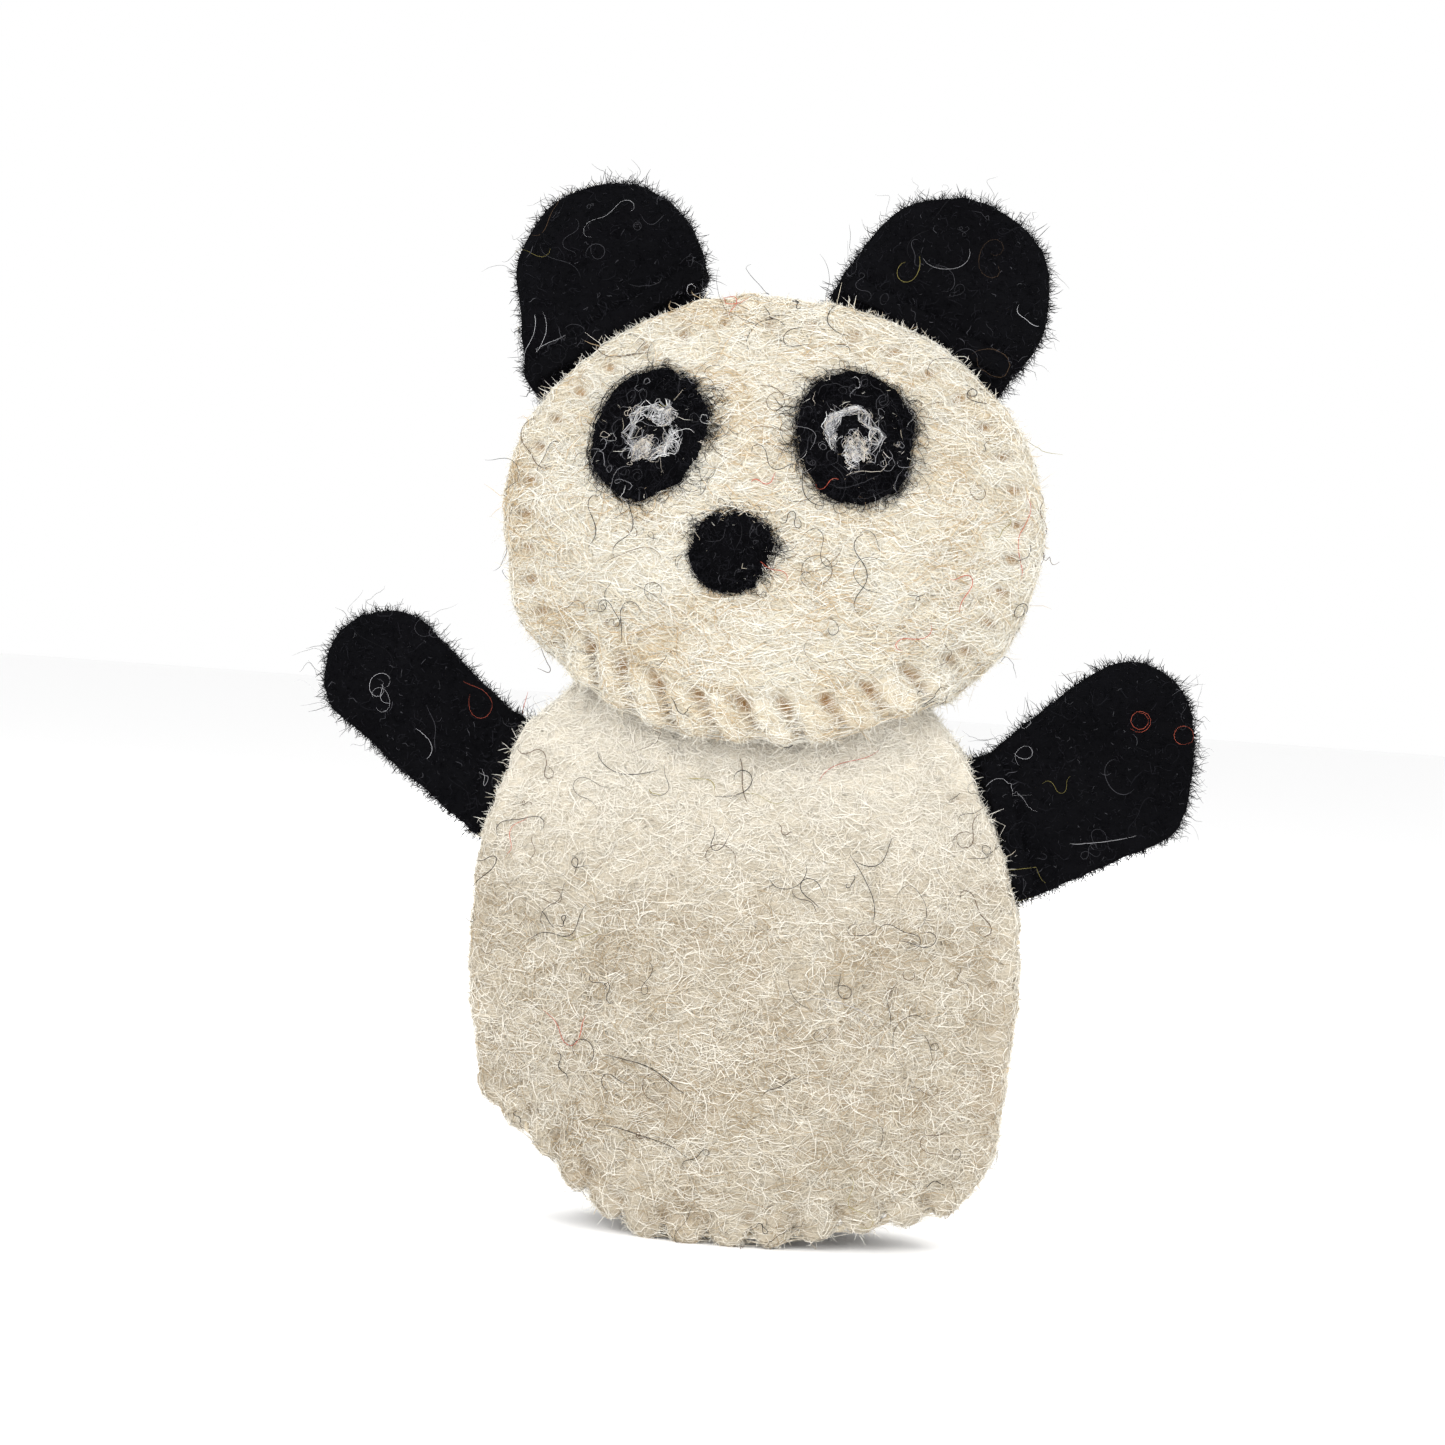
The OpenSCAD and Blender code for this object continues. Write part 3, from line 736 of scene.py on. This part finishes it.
stuffing = copy_nodes("head_filling", ["head_stuffing"])
soften(stuffing, 0.8 * MM, 3)
roughen(stuffing, (3 * MM, 0.25 * MM))
finish_felt(stuffing, FILLING, "filling", "head_stuffing")
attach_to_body(stuffing, "head")

for piece, name, body, wool, out, layers, lie in (
        (body_front, "body_front", "torso", BODY_WOOL, FRONT, 3, ((1.5 * MM, 4.0 * MM), 0.5, 1.8)),
        (body_back, "body_back", "torso", BODY_WOOL, BACK, 2, ((1.5 * MM, 4.5 * MM), 0.5, 1.8)),
        (face, "face", "head", HEAD_WOOL, FRONT, 3, ((1.8 * MM, 5.5 * MM), 0.75, 1.4)),
        (head_back, "head_back", "head", HEAD_WOOL, BACK, 2, ((2.0 * MM, 6.0 * MM), 0.8, 1.2))):
    showing = outer_face(out)
    mat_down(piece, f"{name}_nap", body, layers, wool, showing, *lie)
    stand_up(piece, f"{name}_fuzz", body, 3500, 1.0 * MM, wool, showing, 0.028 * MM)
    stand_up(piece, f"{name}_edge_fuzz", body, 7500, 0.60 * MM, EDGE_WOOL, cut_edge(out),
             0.024 * MM, 0.6)
    strays(piece, f"{name}_strays", body, 85, (2 * MM, 9 * MM), ON_CREAM, showing, 0.038 * MM)


# ---------------------------------------------------------------- ears and arms
def tongue(name, nodes, joint_name, parent, child):
    """One felt tongue, joined across its hinge line where the CAD splits it in two."""
    joint = JOINTS[joint_name]
    hinge, line = Vector(joint["pos_m"]), Vector(joint["axis"]).normalized()
    flap = np.array([v.co for v in frame["nodes"][nodes[1]].data.vertices]) - np.array(hinge)
    axis = np.array(line)
    along = flap @ axis
    span = along[np.linalg.norm(flap - along[:, None] * axis, axis=1) < FELT]
    middle = hinge + line * float(span.min() + span.max()) / 2
    width = float(span.max() - span.min()) - 1.6 * MM

    def bridge(shape):
        turn = line.to_track_quat("X", "Y").to_matrix().to_4x4()
        size = Matrix.Diagonal((width, FELT, 2.2 * FELT, 1.0))
        bmesh.ops.create_cube(shape, size=1.0, matrix=Matrix.Translation(middle) @ turn @ size)

    piece = copy_nodes(name, nodes, bridge)
    soften(piece, 0.36 * MM, 8)
    roughen(piece, (5 * MM, 0.3 * MM), (1.5 * MM, 0.14 * MM))
    finish_felt(piece, BLACK, "black_felt", *nodes)
    outward = Vector(flap.mean(axis=0))
    outward -= line * outward.dot(line)
    outward.normalize()
    bend = (parent, child, hinge - outward * 1.2 * MM, hinge + outward * 1.2 * MM)
    attach(piece, bend)
    return piece, bend


def rim_first(middle, normals):
    """Keeps most fibres for the cut edge of a flat tongue, and some for its faces."""
    return 0.35 + 1.6 * (1 - np.abs(normals[:, 1])) ** 1.5


def all_over(middle, normals):
    return np.ones(len(middle))


for limb, parent in (("arm", "torso"), ("ear", "head")):
    for side in ("left", "right"):
        child = f"{limb}_{side}"
        nodes = [f"{child}_root", f"{child}_flap"]
        piece, bend = tongue(f"{child}_felt", nodes, f"{child}_flap", parent, child)
        stand_up(piece, f"{child}_nap", bend, 4000, 0.8 * MM, BLACK_WOOL, all_over, 0.030 * MM, 0.3)
        stand_up(piece, f"{child}_fuzz", bend, 6000, 0.55 * MM, BLACK_WOOL, rim_first, 0.034 * MM, 0.8)
        strays(piece, f"{child}_dark_strays", bend, 120, (1.5 * MM, 7 * MM), DARK_STRAYS, rim_first,
               0.018 * MM, 0.8, 5.0)
        strays(piece, f"{child}_pale_strays", bend, 24, (2 * MM, 10 * MM), ON_BLACK, all_over,
               0.016 * MM, 0.25, 4.5)


# ---------------------------------------------------------------- face
def wool_patch(name, node, lumps):
    """Black wool needled into the face as a low, uneven mound."""
    piece = copy_nodes(name, [node])
    soften(piece, 0.24 * MM, 4)
    roughen(piece, (2.4 * MM, lumps), (0.9 * MM, 0.2 * MM))
    finish_felt(piece, BLACK, "black_wool", node)
    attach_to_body(piece, "head")
    return piece


def ring_of_curls(patch, name, count, wool, spread, length):
    """Curly wool that strays from a patch over the felt round it."""
    ground = surface_tree(face, patch)
    low, high = piece_box(patch)
    middle, half = (low + high) / 2, (high - low) / 2

    def near_rim(centre, normals):
        share = np.hypot((centre[:, 0] - middle[0]) / half[0], (centre[:, 2] - middle[2]) / half[2])
        return (normals[:, 1] < 0.3) * smoothstep(0.55, 0.95, share)

    start, normals = scatter(patch, count, near_rim)
    away = np.arctan2(start[:, 2] - middle[2], start[:, 0] - middle[0])
    lengths = rng.uniform(*length, count)
    heading = math.pi - away + rng.normal(0, 1.0, count)
    facing = np.tile(FRONT, (count, 1))
    paths = curls(start, facing, lengths, rng.normal(0, 5.0, count), 10, heading, 0.0, 1.2)
    paths, _ = laid(paths, ground, 0.05 * MM + spread * rng.random((count, 1)))
    radii = 0.026 * MM * rng.uniform(0.5, 1.1, (count, 1))
    strand_mesh(name, "head", paths, radii, picks(start, wool), wool.shades)


nose = wool_patch("nose_wool", "nose", 0.15 * MM)
stand_up(nose, "nose_nap", "head", 2500, 0.55 * MM, BLACK_WOOL, outer_face(FRONT), 0.028 * MM)
ring_of_curls(nose, "nose_curls", 500, BLACK_WOOL, 0.35 * MM, (0.8 * MM, 2.6 * MM))
strays(nose, "nose_strays", "head", 40, (1 * MM, 3 * MM), DARK_STRAYS, outer_face(FRONT),
       0.016 * MM, 0.1, 5.0, 0.4 * MM)


def wisp(name, ground, centre, parts, wool, node):
    """Pale wool needled into a patch, as parts of ellipses round centre.

    Each part is (x, z, x radius, z radius, from, to, spread, count), in millimetres and degrees.
    """
    share = np.linspace(0, 1, WISP_STEPS)[None, :, None]
    paths = []
    for x, z, rx, rz, first, last, spread, count in parts:
        x, z, rx, rz, spread = (value * MM for value in (x, z, rx, rz, spread))
        angle = np.radians(rng.uniform(first, last, count))
        sweep = rng.uniform(0.25, 0.75, (count, 1)) * (2 * share[..., 0] - 1)
        angle = angle[:, None] + sweep * rng.choice([-1, 1], (count, 1))
        crimp = np.sin(share * rng.uniform(4, 14, (count, 1, 2)) + 6 * rng.random((count, 1, 2)))
        off = rng.normal(0, spread, (count, 1, 2)) + 0.6 * spread * crimp
        path = np.empty((count, WISP_STEPS, 3))
        path[..., 0] = centre[0] + x + rx * np.cos(angle) + off[..., 0]
        path[..., 2] = centre[2] + z + rz * np.sin(angle) + off[..., 1]
        path[..., 1] = centre[1] - 1.5 * MM
        paths.append(path)
    paths = np.concatenate(paths)
    count = len(paths)
    arch = np.sin(np.linspace(0.2, math.pi - 0.2, WISP_STEPS))[None]
    paths, _ = laid(paths, ground, 0.12 * MM + 0.45 * MM * rng.random((count, 1)) * arch)
    radii = 0.024 * MM * rng.uniform(0.6, 1.3, (count, 1))
    piece = strand_mesh(name, "head", paths, radii, picks(paths[:, 0], wool), wool.shades)
    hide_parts(node)


# Each eye's arc of white wool, and its spot of cream wool.
WISPS = {
    "left": (((-0.1, 0.5, 2.2, 2.3, 75, 215, 0.26, 60), (0.9, 2.1, 0.8, 0.5, 0, 360, 0.30, 110),
              (0.5, -0.4, 1.8, 1.7, -80, 15, 0.34, 70)),
             ((-0.8, -1.2, 0.8, 0.6, 0, 360, 0.40, 150),)),
    "right": (((-0.1, 0.6, 2.2, 2.3, 75, 200, 0.28, 110), (0.0, 0.4, 2.3, 2.4, -20, 65, 0.30, 40),
               (-2.1, 0.5, 0.25, 1.1, 0, 360, 0.18, 60)),
              ((0.4, -1.2, 0.7, 0.9, 0, 360, 0.38, 140),)),
}
for side in ("left", "right"):
    patch = wool_patch(f"eye_patch_{side}_wool", f"eye_patch_{side}", 0.35 * MM)
    stand_up(patch, f"eye_patch_{side}_nap", "head", 3500, 0.55 * MM, BLACK_WOOL, outer_face(FRONT),
             0.028 * MM)
    ring_of_curls(patch, f"eye_patch_{side}_curls", 900, BLACK_WOOL, 0.5 * MM, (1.0 * MM, 4.0 * MM))
    strays(patch, f"eye_patch_{side}_strays", "head", 110, (1.5 * MM, 5 * MM), EYE_STRAYS,
           outer_face(FRONT), 0.017 * MM, 0.1, 6.0, 0.45 * MM)
    low, high = piece_box(patch)
    middle = (low + high) / 2
    arc, spot = WISPS[side]
    ground = surface_tree(patch)
    wisp(f"eye_{side}_white_wisp", ground, middle, arc, EYE_WOOL, f"eye_ring_{side}")
    wisp(f"eye_{side}_cream_wisp", ground, middle, spot, BLOB_WOOL, f"eye_spot_{side}")


# ---------------------------------------------------------------- stage, light and camera
def lay_floor():
    """A wide white floor level with the hem."""
    bpy.ops.mesh.primitive_plane_add(size=8.0, location=(0, 0, -0.1 * MM))
    floor = bpy.context.object
    floor.name = "floor"
    material, _, shader = new_material("pale_floor", 0.9, 0.0, 0.1)
    shader.inputs["Base Color"].default_value = (0.96, 0.96, 0.96, 1.0)
    floor.data.materials.append(material)


def softbox(name, place, size, power):
    """A round area light aimed at the puppet."""
    lamp = bpy.data.lights.new(name, "AREA")
    lamp.shape, lamp.size, lamp.energy = "DISK", size, power
    box = new_object(name, lamp)
    box.location = place
    box.rotation_euler = (AIM - Vector(place)).to_track_quat("-Z", "Y").to_euler()


def set_world(strength):
    world = bpy.data.worlds.new("white_room")
    world.use_nodes = True
    world.node_tree.nodes["Background"].inputs["Color"].default_value = (1.0, 1.0, 1.0, 1.0)
    world.node_tree.nodes["Background"].inputs["Strength"].default_value = strength
    bpy.context.scene.world = world


def set_camera():
    """The photograph's view: nearly level, a little to one side, and rolled by the puppet's lean."""
    azimuth, elevation = math.radians(CAMERA_AZIMUTH), math.radians(CAMERA_ELEVATION)
    back = Vector((math.sin(azimuth) * math.cos(elevation), -math.cos(azimuth) * math.cos(elevation),
                   math.sin(elevation)))
    camera = new_object("camera", bpy.data.cameras.new("camera"))
    camera.data.lens, camera.data.sensor_width = LENS, SENSOR
    camera.location = AIM + back * (LENS / SENSOR * PHOTO_WIDTH)
    level = (-back).to_track_quat("-Z", "Y")
    camera.rotation_mode = "QUATERNION"
    roll = Matrix.Rotation(math.radians(CAMERA_ROLL), 3, "Z")
    camera.rotation_quaternion = level @ roll.to_quaternion()
    camera.data.clip_start, camera.data.clip_end = 0.01, 10.0
    bpy.context.scene.camera = camera


lay_floor()
set_world(1.0)
softbox("key_light", (-0.30, -0.70, 0.40), 0.6, 5.5)
softbox("fill_light", (0.45, -0.55, 0.20), 0.5, 2.8)
softbox("back_light", (0.15, 0.75, 0.40), 0.6, 5.0)
set_camera()
bpy.context.scene.view_settings.view_transform = "Standard"
